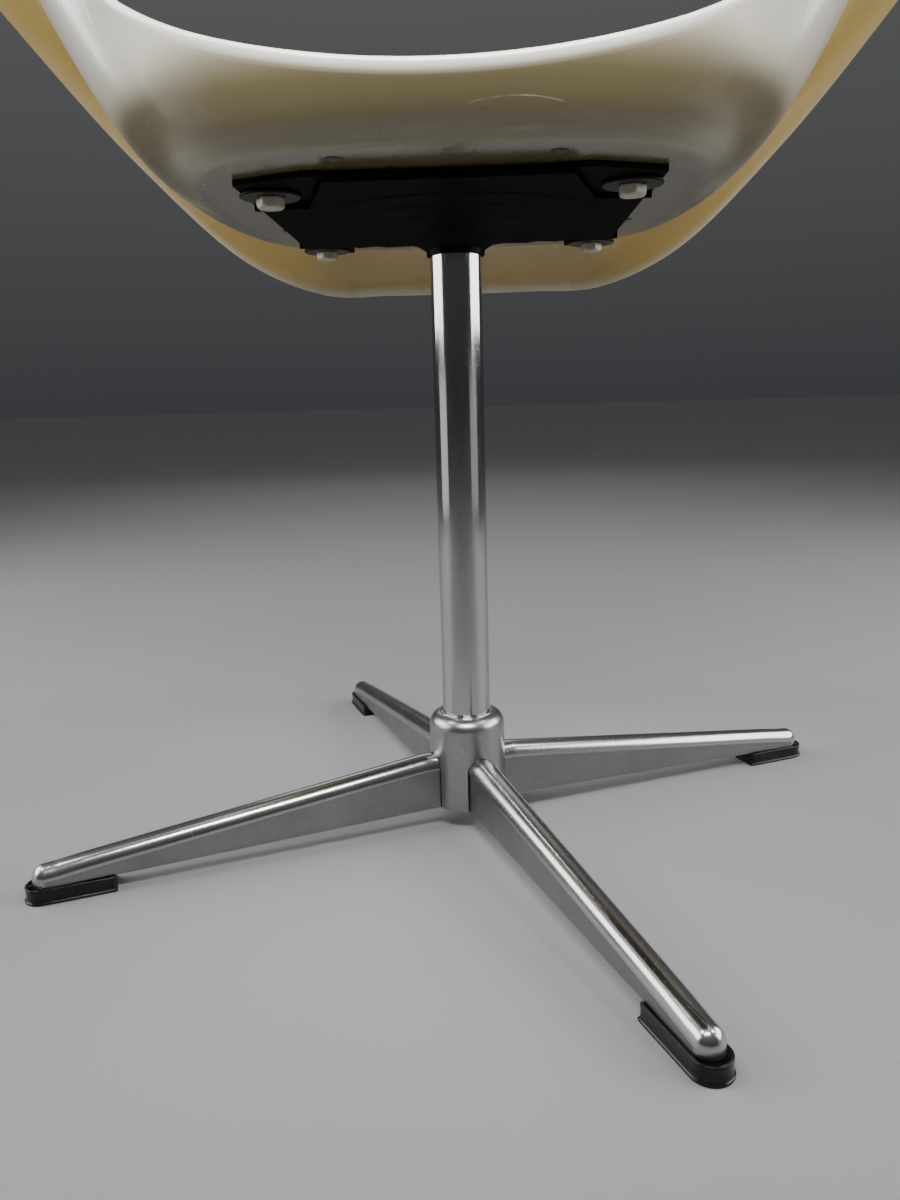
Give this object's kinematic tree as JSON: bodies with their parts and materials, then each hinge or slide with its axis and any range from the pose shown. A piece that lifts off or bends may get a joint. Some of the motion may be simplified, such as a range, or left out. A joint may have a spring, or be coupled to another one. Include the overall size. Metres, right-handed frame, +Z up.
{
  "type": "pedestal swivel armchair",
  "caption": "Armchair with a moulded bucket shell, open lower back, seat cushion and back pad, turning on a slim column over a cross base with low glides.",
  "frame": {"origin": "on the floor, on the axis of the column", "axes": "+Z up, +Y towards the back of the seat, +X towards the right as seen from the front of the seat looking at its back"},
  "size_m": [0.65, 0.5284, 0.792],
  "materials": {
    "hub_metal": "satin silver over a deep-drawn cover",
    "inner_steel": "plain zinc plated",
    "column_chrome": "polished chrome",
    "leg_metal": "polished ridge, satin sides",
    "glide_plastic": "glossy black",
    "bush_plastic": "plain",
    "bearing_steel": "ground and polished",
    "plate_black": "half gloss black",
    "washer_steel": "dark half gloss with a bright edge",
    "bolt_heads": "pale half gloss",
    "shell_ivory": "glossy ivory moulding",
    "stud_plastic": "plain",
    "board_wood": "raw plywood",
    "upholstery": "ochre wool cloth"
  },
  "bodies": {
    "base": {"hub_cover": "hub_metal", "hub_sleeve": "inner_steel", "hub_floor": "inner_steel", "clamp_bolt": "inner_steel", "clamp_washer": "inner_steel", "column_plug": "inner_steel", "column": "column_chrome", "leg_right_rear": "leg_metal", "leg_left_rear": "leg_metal", "leg_left_front": "leg_metal", "leg_right_front": "leg_metal", "glide_right_rear": "glide_plastic", "glide_left_rear": "glide_plastic", "glide_left_front": "glide_plastic", "glide_right_front": "glide_plastic", "lower_bush": "bush_plastic", "upper_bush": "bush_plastic", "lower_race": "bearing_steel", "bearing_balls": "bearing_steel"},
    "seat": {"upper_race": "bearing_steel", "spindle": "inner_steel", "retaining_washer": "inner_steel", "retaining_ring": "inner_steel", "collar": "plate_black", "seat_plate": "plate_black", "plate_washers": "washer_steel", "plate_bolts": "bolt_heads", "shell_nuts": "inner_steel", "shell": "shell_ivory", "board_studs": "stud_plastic", "seat_board": "board_wood", "seat_cushion": "upholstery", "back_pad": "upholstery"}
  },
  "joints": [
    {"name": "seat_swivel", "type": "hinge", "parent": "base", "child": "seat", "pos_m": [0, 0, 0], "axis": [0, 0, 1], "continuous": true}
  ]
}
